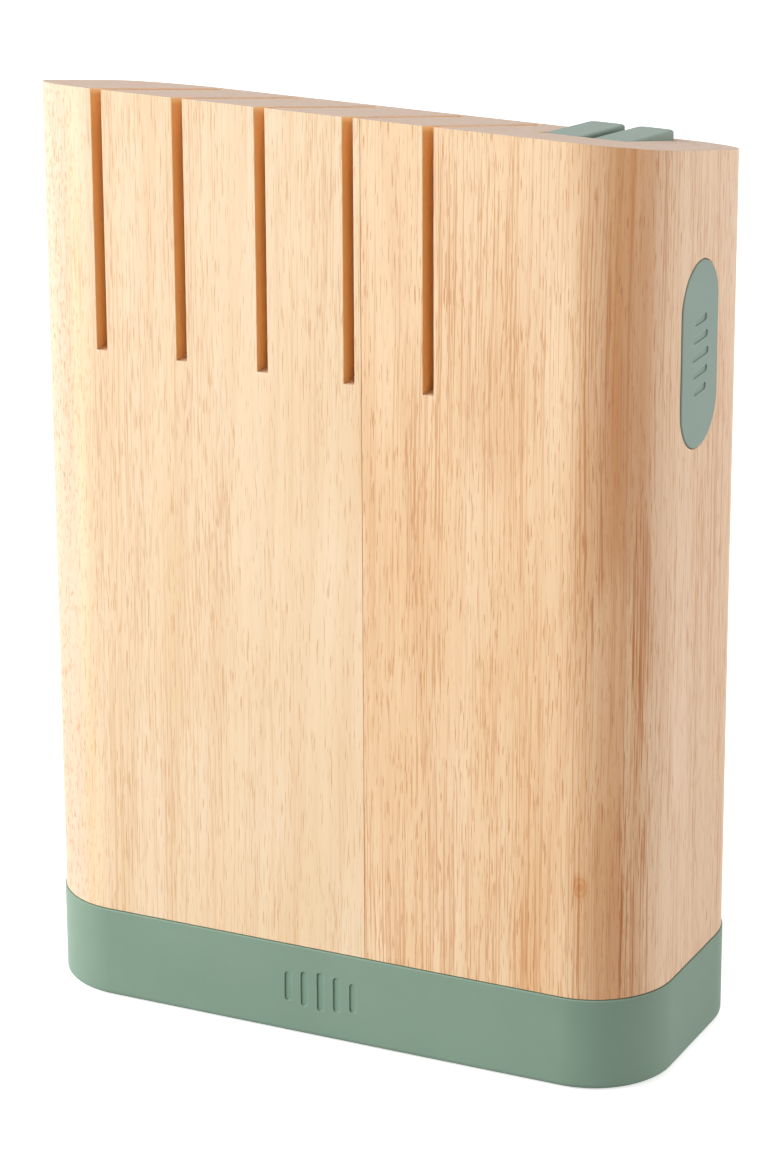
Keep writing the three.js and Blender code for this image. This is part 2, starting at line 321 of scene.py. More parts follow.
def combine(bm, tool, operation="DIFFERENCE"):
    """Cuts a tool's solid out of a piece, or joins the two, and uses the tool up."""
    work, cutter = loose_object(bm), loose_object(tool)
    modifier = work.modifiers.new("routing", "BOOLEAN")
    modifier.operation = operation
    modifier.solver = "EXACT"
    modifier.object = cutter
    graph = bpy.context.evaluated_depsgraph_get()
    result = work.evaluated_get(graph)
    shaped = result.to_mesh()
    bm.clear()
    bm.from_mesh(shaped)
    result.to_mesh_clear()
    for spent in (work, cutter):
        mesh = spent.data
        bpy.data.objects.remove(spent)
        bpy.data.meshes.remove(mesh)
    tool.free()
    return bm


# %% Easing and finishing
SHARP = math.radians(50)


def ease(bm, width, wanted=lambda edge: True, segments=2):
    """Rounds the sharp edges that wanted() picks, by a small width."""
    bmesh.ops.recalc_face_normals(bm, faces=bm.faces[:])
    bm.normal_update()
    edges = [edge for edge in bm.edges
             if edge.is_manifold and edge.calc_face_angle() > SHARP and wanted(edge)]
    bmesh.ops.bevel(bm, geom=edges, offset=width, offset_type="OFFSET", segments=segments,
                    profile=0.5, affect="EDGES", material=-1, clamp_overlap=True)
    return bm


def finish_piece(bm, name, body, slot, material, *nodes):
    """Makes the object, smooths its round faces, and lets it ride on its body."""
    bmesh.ops.remove_doubles(bm, verts=bm.verts[:], dist=mm(0.001))
    bmesh.ops.recalc_face_normals(bm, faces=bm.faces[:])
    for face in bm.faces:
        face.smooth = True
    for edge in bm.edges:
        edge.smooth = edge.is_manifold and edge.calc_face_angle() < SHARP
    open_edges = sum(not edge.is_manifold for edge in bm.edges)
    volume = bm.calc_volume(signed=True)
    mesh = bpy.data.meshes.new(name)
    bm.to_mesh(mesh)
    bm.free()
    mesh.materials.append(material)
    piece = bpy.data.objects.new(name, mesh)
    scene.collection.objects.link(piece)
    piece.modifiers.new("flat_faces_first", "WEIGHTED_NORMAL").keep_sharp = True
    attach(piece, body)
    if nodes:
        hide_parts(*nodes)
    print(f"{name}: {len(mesh.vertices)} vertices, {open_edges} open edges, {volume * 1e6:.2f} ml")
    return piece


# %% [markdown]
# ## Rubberwood
#
# Rubberwood is a pale, creamy tropical hardwood. Its face shows short dark dashes, which
# are open pores cut lengthwise, over soft streaks of honey, and here and there a growth
# ring. A flat image wrapped round the block would break at every corner. A solid texture
# in the board's own coordinates doesn't: rings are distances from a pith that runs up the
# board, pores are noise stretched along it, and the sawn top shows its pores as dots.
# Pores and rings aren't painted over the wood. Their colour multiplies it, so that a dark
# band and a pale one both keep their own warmth under the same dashes.

# %% The grain group
tree, given, out = new_group(
    "rubberwood_grain",
    [("Vector", "Vector", (0, 0, 0)), ("Normal", "Vector", (0, 0, 0)), ("Shift", "Vector", (0, 0, 0)),
     ("Pale", "Color", (1, 1, 1, 1)), ("Warm", "Color", (1, 1, 1, 1)), ("Pore", "Color", (1, 1, 1, 1)),
     ("Pore Strength", "Float", 0.5), ("Line Strength", "Float", 0.5),
     ("End Grain", "Color", (1, 1, 1, 1)), ("Sawn", "Color", (1, 1, 1, 1)),
     ("Side", "Color", (1, 1, 1, 1)), ("Side From", "Float", 0.8), ("Side To", "Float", 0.96),
     ("Pith", "Vector", (0, 0, 0)), ("Taper", "Float", 0.04), ("Ring Width", "Float", 0.007),
     ("Ring Strength", "Float", 0.1),
     ("Heart", "Color", (1, 1, 1, 1)), ("Heart Place", "Vector", (9, 9, 0)),
     ("Heart Radius", "Float", 0.01), ("Heart Strength", "Float", 0.0),
     ("Fleck Strength", "Float", 0.0),
     ("Knot Place", "Vector", (9, 9, 9)), ("Knot Radius", "Float", 0.004)],
    [("Color", "Color"), ("Roughness", "Float"), ("Height", "Float")])


def vector(operation, first, second, result=0):
    """A Vector Math node's result, in the grain group."""
    return add(tree, "ShaderNodeVectorMath", {0: first, 1: second}, operation=operation).outputs[result]


def nearness(place, middle, radius, plane):
    """1 at a middle point, falling to 0 at a radius; plane picks the axes that count."""
    flat = vector("MULTIPLY", vector("SUBTRACT", place, middle), plane)
    far = calc(tree, "DIVIDE", vector("LENGTH", flat, (0, 0, 0), "Value"), radius)
    return calc(tree, "SUBTRACT", 1.0, far, clamp=True)


shifted = vector("ADD", given["Vector"], given["Shift"])
drift = vector("SUBTRACT", noise(tree, shifted, 9, 2.5).outputs["Color"], (0.5, 0.5, 0.5))
sway = vector("SUBTRACT", noise(tree, shifted, 45, 14).outputs["Color"], (0.5, 0.5, 0.5))
bend = vector("ADD", vector("MULTIPLY", drift, (0.009, 0.009, 0)),
              vector("MULTIPLY", sway, (0.0012, 0.0012, 0)))
place = vector("ADD", given["Vector"], bend)
grain = vector("ADD", shifted, bend)

# Growth rings: cones round the pith.
radius = vector("LENGTH", vector("MULTIPLY", vector("SUBTRACT", place, given["Pith"]), (1, 1, 0)),
                (0, 0, 0), "Value")
upright = add(tree, "ShaderNodeSeparateXYZ", {0: given["Vector"]}).outputs["Z"]
coned = calc(tree, "SUBTRACT", radius, calc(tree, "MULTIPLY", upright, given["Taper"]))
phase = calc(tree, "FRACT", calc(tree, "DIVIDE", coned, given["Ring Width"]))
latewood = calc(tree, "MULTIPLY", step(tree, phase, 0.35, 0.92),
                calc(tree, "SUBTRACT", 1.0, step(tree, phase, 0.93, 1.0)))

# Broad streaks and clouds of honey that thin out up the board, which is a painted sheen
# that makes the upper board paler, then the heartwood at the rounded corner, which darkens
# up it and is partly a real streak and partly painted shade, and the knot.
streak = step(tree, noise(tree, grain, 150, 2.2, 3, 0.6).outputs["Fac"], 0.32, 0.7)
cloud = step(tree, noise(tree, grain, 26, 7, 3, 0.55).outputs["Fac"], 0.3, 0.7)
honey = calc(tree, "ADD", calc(tree, "MULTIPLY", streak, 0.4), calc(tree, "MULTIPLY", cloud, 0.6))
# Painted sheen: the honey is halved near the top, so the upper board looks paler.
painted_top_sheen = calc(tree, "MULTIPLY_ADD", step(tree, upright, 0.15, 0.28), -0.5, 1.0)
color = mix(tree, calc(tree, "MULTIPLY", honey, painted_top_sheen), given["Pale"], given["Warm"])
# The heart band at the honey board's rounded corner is partly a real brown streak and partly painted
# shade where the corner turns between the lights.
closeness = nearness(place, given["Heart Place"], given["Heart Radius"], (1, 1, 0))
heart = step(tree, closeness, 0.0, 1.0)
patchy = calc(tree, "MULTIPLY", heart, calc(tree, "MULTIPLY_ADD", streak, 0.6, 0.4))
upper = calc(tree, "MULTIPLY_ADD", step(tree, upright, 0.15, 0.27), 0.5, 0.5)
heart_and_shade = calc(tree, "MULTIPLY", upper, given["Heart Strength"])
color = mix(tree, calc(tree, "MULTIPLY", patchy, heart_and_shade), color, given["Heart"])
ringed = calc(tree, "MULTIPLY_ADD", calc(tree, "MULTIPLY", heart, heart_and_shade), 0.35,
              given["Ring Strength"])
color = mix(tree, calc(tree, "MULTIPLY", latewood, ringed), color, given["Pore"], "MULTIPLY")
eye = nearness(place, given["Knot Place"], given["Knot Radius"], (1, 1, 0.6))
eye_rings = calc(tree, "SINE", calc(tree, "MULTIPLY", eye, 16.0))
eye_line = calc(tree, "MULTIPLY_ADD", eye_rings, 0.2, 0.65)
color = mix(tree, calc(tree, "MULTIPLY", step(tree, eye, 0.0, 0.8), eye_line), color, given["Heart"])

# Pores: long thin dashes everywhere, short thick flecks where the cut is steep, and fine
# fibre lines in bundles, which give way to the flecks.
fine = noise(tree, grain, 2300, 10, 2, 0.6).outputs["Fac"]
fibre = noise(tree, grain, 3000, 45).outputs["Fac"]
crowding = noise(tree, grain, 70, 6, 2, 0.5).outputs["Fac"]
threshold = calc(tree, "MULTIPLY_ADD", crowding, -0.20, 0.69)
dash = noise(tree, grain, 3100, 120, 1.0, 0.5).outputs["Fac"]
pores = step(tree, calc(tree, "SUBTRACT", dash, threshold), 0.0, 0.10)
fleck = noise(tree, grain, 1700, 430, 0.5, 0.5).outputs["Fac"]
flecks = step(tree, calc(tree, "SUBTRACT", fleck, threshold), 0.0, 0.12)
flecked = calc(tree, "MULTIPLY", heart, given["Fleck Strength"])
flecks = calc(tree, "MULTIPLY", flecks, flecked)
marks = calc(tree, "MAXIMUM", calc(tree, "MULTIPLY", pores, given["Pore Strength"]), flecks)
bundles = calc(tree, "MULTIPLY_ADD", step(tree, crowding, 0.35, 0.65), 0.7, 0.3)
bundles = calc(tree, "MULTIPLY", bundles, calc(tree, "SUBTRACT", 1.0, flecked))
# Painted shade in part: the fibre lines run darker inside the heart band.
heart_and_shade_lines = calc(tree, "MULTIPLY", heart, given["Heart Strength"])
line_depth = calc(tree, "MULTIPLY_ADD", heart_and_shade_lines, 0.6, given["Line Strength"])
lines = calc(tree, "MULTIPLY", step(tree, fine, 0.50, 0.66), line_depth)
lines = calc(tree, "MULTIPLY", lines, bundles)
dark = calc(tree, "MAXIMUM", marks, lines)

# The walls of the slots get a deeper orange tint, partly the saw's toasted look and partly
# painted warm shade. The block's outer sides get a tone of their own that is partly painted
# light: a pinkish painted sheen, with painted shade on the creamy left side where the key
# light is strongest. The sawn top shows end grain. The slots all lie near the middle, and the
# outer sides don't, which tells one kind of sideways face from the other.
SLOTS_END = 0.080
SIDES_START = 0.084
facing = add(tree, "ShaderNodeSeparateXYZ", {0: given["Normal"]}).outputs
across = add(tree, "ShaderNodeSeparateXYZ", {0: given["Vector"]}).outputs["X"]
off_middle = calc(tree, "ABSOLUTE", across)
inside = calc(tree, "SUBTRACT", 1.0, step(tree, off_middle, SLOTS_END, SIDES_START))
sideways = calc(tree, "ABSOLUTE", facing["X"])
# Painted sheen and shade on the outer sides: a pinkish tone, darker on the creamy left side where the
# key light is strongest.
outer = calc(tree, "MULTIPLY", step(tree, sideways, given["Side From"], given["Side To"]),
             calc(tree, "SUBTRACT", 1.0, inside))
color = mix(tree, calc(tree, "MULTIPLY", outer, 0.6), color, given["Side"])
color = mix(tree, dark, color, given["Pore"], "MULTIPLY")
# The slot walls are tinted a deeper orange: partly the saw's toasted look, partly painted warm shade.
wall = calc(tree, "MULTIPLY", step(tree, sideways, 0.7, 0.95), inside)
color = mix(tree, calc(tree, "MULTIPLY", wall, 0.85), color, given["Sawn"])
dots = noise(tree, grain, 1500, 10, 1.0, 0.5).outputs["Fac"]
dotted = calc(tree, "MULTIPLY", step(tree, dots, 0.55, 0.75), 0.4)
sawn_end = mix(tree, dotted, given["End Grain"], given["Pore"], "MULTIPLY")
sawn_end = mix(tree, calc(tree, "MULTIPLY", latewood, 0.16), sawn_end, given["Pore"], "MULTIPLY")
top_side = step(tree, facing["Z"], 0.55, 0.9)
color = mix(tree, top_side, color, sawn_end)
tone = calc(tree, "MULTIPLY_ADD", fibre, 0.08, calc(tree, "MULTIPLY_ADD", fine, 0.06, 0.93))
grey = add(tree, "ShaderNodeCombineColor", {0: tone, 1: tone, 2: tone}).outputs[0]
tree.links.new(mix(tree, 1.0, color, grey, "MULTIPLY"), out["Color"])

# Pores and the sawn top are duller than the sanded face, and pores lie below it.
dull = calc(tree, "ADD", calc(tree, "MULTIPLY", dark, 0.2), calc(tree, "MULTIPLY", top_side, 0.1))
sanded = calc(tree, "MULTIPLY_ADD", fibre, 0.12, 0.44)
tree.links.new(calc(tree, "ADD", dull, sanded), out["Roughness"])
tree.links.new(calc(tree, "SUBTRACT", calc(tree, "MULTIPLY", fibre, 0.35), dark), out["Height"])
grain_group = tree
print("rubberwood_grain has", len(tree.nodes), "nodes")


# %% Boards
def srgb(red, green, blue):
    """A colour from its 0 to 255 screen values, as the shader wants it."""
    def linear(value):
        value /= 255
        return value / 12.92 if value <= 0.04045 else ((value + 0.055) / 1.055) ** 2.4
    return (linear(red), linear(green), linear(blue), 1)


def rubberwood(name, shift, **values):
    """One board's material: the grain group with this board's own tones and rings."""
    material = bpy.data.materials.new(name)
    material.use_nodes = True
    tree = material.node_tree
    shader = tree.nodes["Principled BSDF"]
    where = add(tree, "ShaderNodeTexCoord").outputs
    board = add(tree, "ShaderNodeGroup", node_tree=grain_group)
    tree.links.new(where["Object"], board.inputs["Vector"])
    tree.links.new(where["Normal"], board.inputs["Normal"])
    board.inputs["Shift"].default_value = shift
    for label, value in values.items():
        board.inputs[label.replace("_", " ").title()].default_value = value
    tree.links.new(board.outputs["Color"], shader.inputs["Base Color"])
    tree.links.new(board.outputs["Roughness"], shader.inputs["Roughness"])
    relief = add(tree, "ShaderNodeBump", {"Strength": 0.35, "Distance": mm(0.15),
                                          "Height": board.outputs["Height"]})
    tree.links.new(relief.outputs["Normal"], shader.inputs["Normal"])
    shader.inputs["Specular IOR Level"].default_value = 0.5
    return material


# The side colours are partly painted sheen and shade, and the sawn colour is partly painted warm shade
# in the slots.
CREAM = dict(pale=srgb(244, 219, 187), warm=srgb(236, 204, 160), pore=srgb(215, 170, 112),
             end_grain=srgb(222, 196, 176), sawn=srgb(250, 199, 132), heart=srgb(228, 190, 146),
             side=srgb(214, 186, 166), side_from=0.0, side_to=0.5)
HONEY = dict(CREAM, pale=srgb(247, 218, 180), warm=srgb(233, 189, 140), pore=srgb(206, 151, 89),
             heart=srgb(210, 140, 74), side=srgb(238, 208, 178), side_from=0.72, side_to=0.96)

cream_board = rubberwood("cream_board", (0.31, 0.12, 0.4), **CREAM, pith=(-0.6, 0.4, 0),
                         ring_width=0.011, ring_strength=0.10, pore_strength=0.5, line_strength=0.40,
                         heart_place=(-0.097, -0.035, 0), heart_radius=0.032, fleck_strength=0.8)
# The honey board's heart colour and strength are partly painted shade at its rounded corner.
honey_board = rubberwood("honey_board", (1.13, 0.7, 1.9), **HONEY, pith=(0.0525, 0.0092, 0),
                         taper=0.04, ring_width=0.00664, ring_strength=0.10, pore_strength=0.62,
                         line_strength=0.66, fleck_strength=0.15,
                         heart_place=(0.0905, -0.0365, 0), heart_radius=0.020, heart_strength=1.0,
                         knot_place=(0.0813, -0.0418, 0.065), knot_radius=0.0035)
inner_board = rubberwood("inner_board", (2.3, 1.4, 0.7), **HONEY, pith=(-0.3, 0.5, 0),
                         ring_width=0.009, ring_strength=0.1)
print("boards:", cream_board.name, honey_board.name, inner_board.name)

# %% [markdown]
# ## Plastic, rubber, ceramic and steel
#
# The tray, the plate and the sharpener are moulded in one satin sage plastic. Moulded
# plastic isn't quite even: its colour drifts a little, its skin has a very fine spark-
# eroded grain, and its outer edges are paler, partly rubbed and partly a painted
# highlight. The edge effect is a group of its own, because the ceramic and the steel
# use it too.

# %% The edge group
# The edges that come out paler are partly rubbed wear and partly a painted highlight.
tree, given, out = new_group("rubbed_and_highlit_edges", [("Vector", "Vector", (0, 0, 0))], [("Wear And Highlight", "Float")])
rounded = add(tree, "ShaderNodeBevel", {"Radius": mm(0.7)}, samples=6).outputs["Normal"]
true_normal = add(tree, "ShaderNodeNewGeometry").outputs["Normal"]
agree = add(tree, "ShaderNodeVectorMath", {0: rounded, 1: true_normal}, operation="DOT_PRODUCT")
turned = step(tree, calc(tree, "SUBTRACT", 1.0, agree.outputs["Value"]), 0.01, 0.14)
patchy = step(tree, noise(tree, given["Vector"], 90, 90).outputs["Fac"], 0.2, 0.6)
tree.links.new(calc(tree, "MULTIPLY", turned, patchy), out["Wear And Highlight"])
wear_and_highlight_group = tree

# %% Moulded and hard finishes
def plain_finish(name, base, drift, edge, roughness, grain, relief, metallic=0.0, gloss=0.5):
    """A satin finish: a base colour that drifts to a second one, and paler edges that are
    partly rubbed wear and partly a painted highlight.
    """
    material = bpy.data.materials.new(name)
    material.use_nodes = True
    tree = material.node_tree
    shader = tree.nodes["Principled BSDF"]
    where = add(tree, "ShaderNodeTexCoord").outputs["Object"]
    edges = add(tree, "ShaderNodeGroup", {"Vector": where}, node_tree=wear_and_highlight_group).outputs["Wear And Highlight"]
    cloud = step(tree, noise(tree, where, 28, 28, 3).outputs["Fac"], 0.3, 0.7)
    speck = noise(tree, where, grain, grain, 2, 0.6).outputs["Fac"]
    color = mix(tree, cloud, base, drift)
    color = mix(tree, calc(tree, "MULTIPLY", speck, 0.12), color, edge)
    # Painted highlight in part: the edges go towards the paler edge colour, as rubbed wear and as a
    # highlight.
    color = mix(tree, calc(tree, "MULTIPLY", edges, 0.55), color, edge)
    tree.links.new(color, shader.inputs["Base Color"])
    worn = calc(tree, "MULTIPLY_ADD", edges, -0.08, roughness)
    tree.links.new(calc(tree, "MULTIPLY_ADD", speck, 0.12, worn), shader.inputs["Roughness"])
    skin = add(tree, "ShaderNodeBump", {"Strength": relief, "Distance": mm(0.05), "Height": speck})
    tree.links.new(skin.outputs["Normal"], shader.inputs["Normal"])
    shader.inputs["Metallic"].default_value = metallic
    shader.inputs["Specular IOR Level"].default_value = gloss
    return material


sage = plain_finish("sage_plastic", srgb(124, 149, 131), srgb(129, 154, 136), srgb(158, 180, 164),
                    0.44, 2600, 0.25, gloss=0.2)
pale_sage = plain_finish("pale_sage_plastic", srgb(121, 143, 130), srgb(126, 148, 135),
                         srgb(158, 177, 165), 0.42, 2600, 0.25)
rubber = plain_finish("grip_rubber", srgb(58, 64, 61), srgb(66, 72, 69), srgb(96, 102, 98),
                      0.72, 1500, 0.5)
white_ceramic = plain_finish("white_ceramic", srgb(233, 229, 219), srgb(226, 221, 209),
                             srgb(246, 244, 238), 0.30, 3200, 0.2)
steel = plain_finish("bright_steel", srgb(150, 152, 155), srgb(168, 170, 172), srgb(214, 215, 216),
                     0.24, 1800, 0.3, metallic=1.0)
print("finishes:", sage.name, pale_sage.name, rubber.name, white_ceramic.name, steel.name)

# %% [markdown]
# ## The blank
#
# The real block is glued up from boards and then machined as one: its corners are
# rounded, its top is sawn at a slope and its foot is stepped in to sit in the tray. So
# the script makes that whole blank first, and then saws it back into its boards. Each
# board meets its neighbour exactly, and the rounded corners run through without a step.

# %% The block's measurements
SLOT_DEPTH = mm(78)
CORNER = mm(25)
FOOT_STEP = mm(2.3)
RIM_GAP = mm(0.25)
TOP_FALL = math.radians(12.6)
TOP_NORMAL = Vector((0, math.sin(TOP_FALL), math.cos(TOP_FALL)))
EASED = mm(0.4)
OVERCUT = mm(5)   # how far a cutter runs past the face that it comes out of
FAR = 1.0         # a place well past every face of the block

left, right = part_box("left_stave")[0].x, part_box("right_stave")[1].x
front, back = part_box("front_stave_left")[0].y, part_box("back_stave_left")[1].y
foot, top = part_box("front_stave_left")[0].z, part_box("front_stave_left")[1].z
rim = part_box("base_tray")[1].z

walls = [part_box("left_stave")[1].x]
for number in range(1, 5):
    walls += [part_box(f"divider_{number}")[0].x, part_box(f"divider_{number}")[1].x]
walls.append(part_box("right_stave")[0].x)
slots = list(zip(walls[::2], walls[1::2]))
front_glue = (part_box("front_stave_left")[1].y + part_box("left_stave")[0].y) / 2
back_glue = (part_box("left_stave")[1].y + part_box("back_stave_left")[0].y) / 2
back_joint = (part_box("back_stave_left")[1].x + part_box("back_stave_right")[0].x) / 2
print("slots at", [round((low + high) / 2 * 1000, 1) for low, high in slots], "mm")


# %% The blank and its boards
def blank():
    """The whole block: a stepped foot, a shoulder just above the tray's rim, a sloped top."""
    full = (right - left, back - front, CORNER)
    stepped = (full[0] - 2 * FOOT_STEP, full[1] - 2 * FOOT_STEP, CORNER - FOOT_STEP)
    shoulder = rim + RIM_GAP
    bm = loft([(*stepped, foot), (*stepped, shoulder), (*full, shoulder), (*full, top + OVERCUT)])
    return slice_off(bm, Vector((0, front, top)), TOP_NORMAL)


def board(x_low, x_high, y_low, y_high):
    """The blank sawn down to what lies between two planes across and two planes deep."""
    bm = between(blank(), 0, x_low, x_high)
    return between(bm, 1, y_low, y_high)


GLUE_LINE = mm(0.02)   # an edge this close to a glued plane lies in the joint


def exposed(edge):
    """False on an edge that lies in a glue joint or down in the tray."""
    ends = [vert.co for vert in edge.verts]
    glued = any(all(abs(end[axis] - plane) < GLUE_LINE for end in ends)
                for axis, plane in ((1, front_glue), (1, back_glue), (0, back_joint)))
    return not glued and all(end.z > rim for end in ends)


def saw_slots(bm):
    """Saws the blade slots down through a front board."""
    bottom = top - SLOT_DEPTH
    for low, high in slots:
        combine(bm, brick((low, front - OVERCUT, bottom), (high, front_glue + OVERCUT, FAR)))
    return bm


# %% [markdown]
# ## Front boards
#
# Two wide boards make the front: a creamy one with four of the slots, and a honey one with
# the fifth, which also turns the corner. A hairline of glue runs down between them. The
# boards could be drawn one by one, but sawing them from one blank keeps every face flush.
# The slots are sawn through, and every edge that a hand can reach is eased a little, which
# is what gives the thin bright lines along the slots and the top.

# %% Front boards
bm = saw_slots(board(-FAR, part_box("front_stave_left")[1].x, -FAR, front_glue))
finish_piece(ease(bm, EASED, exposed), "front_board_left", "block", "wood_light", cream_board,
             "front_stave_left")
bm = saw_slots(board(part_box("front_stave_right")[0].x, FAR, -FAR, front_glue))
finish_piece(ease(bm, EASED, exposed), "front_board_right", "block", "wood_honey", honey_board,
             "front_stave_right")

# %% [markdown]
# ## Dividers
#
# Behind the front, plain boards stand side by side with the slots left open between
# them, and a blade slides down each gap. They are sawn from the same blank, each between
# its own two planes, which a loop does for all four.

# %% Left board and dividers
bm = board(-FAR, walls[0], front_glue, back_glue)
finish_piece(ease(bm, EASED, exposed), "left_board", "block", "wood_light", cream_board, "left_stave")
for number in range(1, 5):
    bm = board(walls[2 * number - 1], walls[2 * number], front_glue, back_glue)
    finish_piece(ease(bm, EASED, exposed), f"divider_board_{number}", "block", "wood_inner",
                 inner_board, f"divider_{number}")

# %% [markdown]
# ## Right board
#
# The last board is thick enough to hold the sharpener's pocket, and the plate is let
# into its right face. Pocket, recess and peg holes are routed out of the solid board.

# %% The plate's shape
PLATE_THICK = mm(2)
PLATE_FIT = mm(0.2)
PEG_RADIUS = mm(2.5)
PEG_SPACING = mm(26)
STRAIGHT = mm(0.02)   # left between two quarter-round corners, so that they don't merge
NEAR = mm(0.1)        # an edge this close to a face belongs to it

# Local Z points out of the right face, and the plate's length, along Y, runs up it.
plate_low, plate_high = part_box("side_plate")
plate_middle = (plate_low + plate_high) / 2
TO_SIDE = Matrix.Translation((plate_high.x, plate_middle.y, plate_middle.z)) @ Matrix((
    (0, 0, 1, 0), (1, 0, 0, 0), (0, 1, 0, 0), (0, 0, 0, 1)))


def round_bar(radius, length):
    """A closed round bar along Z, centred on the origin."""
    bm = bmesh.new()
    bmesh.ops.create_cone(bm, cap_ends=True, segments=48, radius1=radius, radius2=radius,
                          depth=length)
    return bm


def plate_shape(grow, rounding):
    """The plate with its face up at Z = 0, its length along Y and its pegs below."""
    width = plate_high.y - plate_low.y + 2 * grow
    length = plate_high.z - plate_low.z + 2 * grow
    stadium = (width, length, width / 2 - STRAIGHT)
    bm = loft([(*stadium, -PLATE_THICK - grow), (*stadium, 0)])
    if rounding:
        ease(bm, rounding, lambda edge: all(vert.co.z > -NEAR for vert in edge.verts),
             segments=3)
    reach = plate_high.x - plate_low.x + grow
    for end in (-1, 1):
        peg = round_bar(PEG_RADIUS + grow, reach - PLATE_THICK / 2)
        lower = -(reach + PLATE_THICK / 2) / 2
        bmesh.ops.translate(peg, vec=(0, end * PEG_SPACING / 2, lower), verts=peg.verts[:])
        combine(bm, peg, "UNION")
    return bm


# %% Right board
POCKET_FIT = Vector((mm(0.3),) * 3)
pocket_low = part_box("sharpener_half_left")[0] - POCKET_FIT
pocket_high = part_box("sharpener_half_right")[1] + POCKET_FIT
pocket_high.z = FAR
recess = plate_shape(PLATE_FIT, 0)
bmesh.ops.transform(recess, matrix=TO_SIDE, verts=recess.verts[:])

bm = board(walls[-1], FAR, front_glue, back_glue)
combine(bm, brick(pocket_low, pocket_high))
combine(bm, recess)
finish_piece(ease(bm, EASED, exposed), "right_board", "block", "wood_honey", honey_board,
             "right_stave")

# %% [markdown]
# ## Back boards
#
# Two thin boards, glued edge to edge, close the slots at the back. They are the last two
# cuts from the blank, so their top edges follow its slope without any more work.

# %% Back boards
bm = board(-FAR, back_joint, back_glue, FAR)
finish_piece(ease(bm, EASED, exposed), "back_board_left", "block", "wood_light", cream_board,
             "back_stave_left")
bm = board(back_joint, FAR, back_glue, FAR)
finish_piece(ease(bm, EASED, exposed), "back_board_right", "block", "wood_honey", honey_board,
             "back_stave_right")

# %% [markdown]
# ## Tray
#
# The tray is one moulding with an even wall. One loft goes up the outside, over the rim
# and down the inside, so the wall has its thickness from the start. The bottom edge is
# well rounded and the rim is lightly rounded, as a mould leaves them. The mark pressed
# into the front is a plain row of five upright bars, one for each slot.

# %% The pressed mark
BAR_WIDTH = mm(2.2)
BAR_HEIGHTS = (mm(9.4), mm(11.2), mm(12.6), mm(11.2), mm(9.4))
BAR_PITCH = mm(5.4)
MARK_DEPTH = mm(0.45)
MARK_FLARE = mm(0.3)   # how much wider the pressed bars are at the surface
MARK_ABOVE = mm(0.2)   # how far the cutter stands out of it


def press_mark(bm, matrix, scale=1.0):
    """Presses five round-ended bars into a surface; matrix takes Z to its outward side."""
    middle = (len(BAR_HEIGHTS) - 1) / 2
    for number, tallness in enumerate(BAR_HEIGHTS):
        width, height = BAR_WIDTH * scale, tallness * scale
        flared = width + MARK_FLARE
        bar = loft([(width, height, width / 2 - STRAIGHT, -MARK_DEPTH),
                    (flared, height + MARK_FLARE, flared / 2 - 1.5 * STRAIGHT, MARK_ABOVE)])
        along = (number - middle) * BAR_PITCH * scale
        bmesh.ops.translate(bar, vec=(along, 0, 0), verts=bar.verts[:])
        bmesh.ops.transform(bar, matrix=matrix, verts=bar.verts[:])
        combine(bm, bar)
    return bm


# %% Tray
TRAY_WALL = mm(2.4)
TRAY_FLOOR = mm(3)
TRAY_BOTTOM_ROUND = mm(1.6)
EDGE_ROUND = mm(0.35)
PAD_FIT = mm(0.3)
PAD_SINK = mm(0.1)   # how much deeper a pad's seat is than the pad goes in
PADS = ("front_left", "front_right", "rear_left", "rear_right")

tray_low, tray_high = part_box("base_tray")
tray_width, tray_depth = tray_high.x - tray_low.x, tray_high.y - tray_low.y
tray_corner = CORNER + left - tray_low.x
inner = (tray_width - 2 * TRAY_WALL, tray_depth - 2 * TRAY_WALL, tray_corner - TRAY_WALL)
outer = (tray_width, tray_depth, tray_corner)
bm = loft([(*outer, tray_low.z), (*outer, tray_high.z),
           (*inner, tray_high.z), (*inner, tray_low.z + TRAY_FLOOR)])
ease(bm, TRAY_BOTTOM_ROUND,
     lambda edge: all(vert.co.z < tray_low.z + NEAR for vert in edge.verts), segments=4)
ease(bm, EDGE_ROUND,
     lambda edge: all(vert.co.z > tray_high.z - NEAR for vert in edge.verts), segments=3)

# The mark is a little left of the middle, half-way up, with its depth into the front.
mark_middle = Vector((-mm(3), tray_low.y, mm(15.7)))
facing_front = Matrix.Translation(mark_middle) @ Matrix((
    (1, 0, 0, 0), (0, 0, -1, 0), (0, 1, 0, 0), (0, 0, 0, 1)))
press_mark(bm, facing_front)
for name in PADS:
    low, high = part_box(f"pad_{name}")
    hole = round_bar((high.x - low.x) / 2 + PAD_FIT, 2 * (high.z + PAD_SINK))
    spot = ((low.x + high.x) / 2, (low.y + high.y) / 2, 0)
    bmesh.ops.translate(hole, vec=spot, verts=hole.verts[:])
    combine(bm, hole)
finish_piece(bm, "sage_tray", "base", "green_plastic", sage, "base_tray")

# %% [markdown]
# ## Pads
#
# Four rubber discs are glued into the tray's underside. Each has a rounded rim and a
# shallow dish, so that it grips by its outer ring. An inset pushed inwards makes the dish.

# %% Pads
PAD_GRIP_RING = mm(2.2)
PAD_DISH = mm(0.35)
for name in PADS:
    low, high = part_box(f"pad_{name}")
    bm = round_bar((high.x - low.x) / 2, high.z - low.z)
    under = min(bm.faces, key=lambda face: face.calc_center_median().z)
    bmesh.ops.inset_individual(bm, faces=[under], thickness=PAD_GRIP_RING, depth=-PAD_DISH)
    ease(bm, EDGE_ROUND, segments=3)
    bmesh.ops.translate(bm, vec=(low + high) / 2, verts=bm.verts[:])
    finish_piece(bm, f"grip_pad_{name}", "base", "pad_rubber", rubber, f"pad_{name}")

# %% [markdown]
# ## Plate
#
# The plate carries the same mark, turned so that it reads up the block. It stands just
# proud of the wood, with a thin shadow line round it, and it is the same shape that cut
# the recess, without the added room.

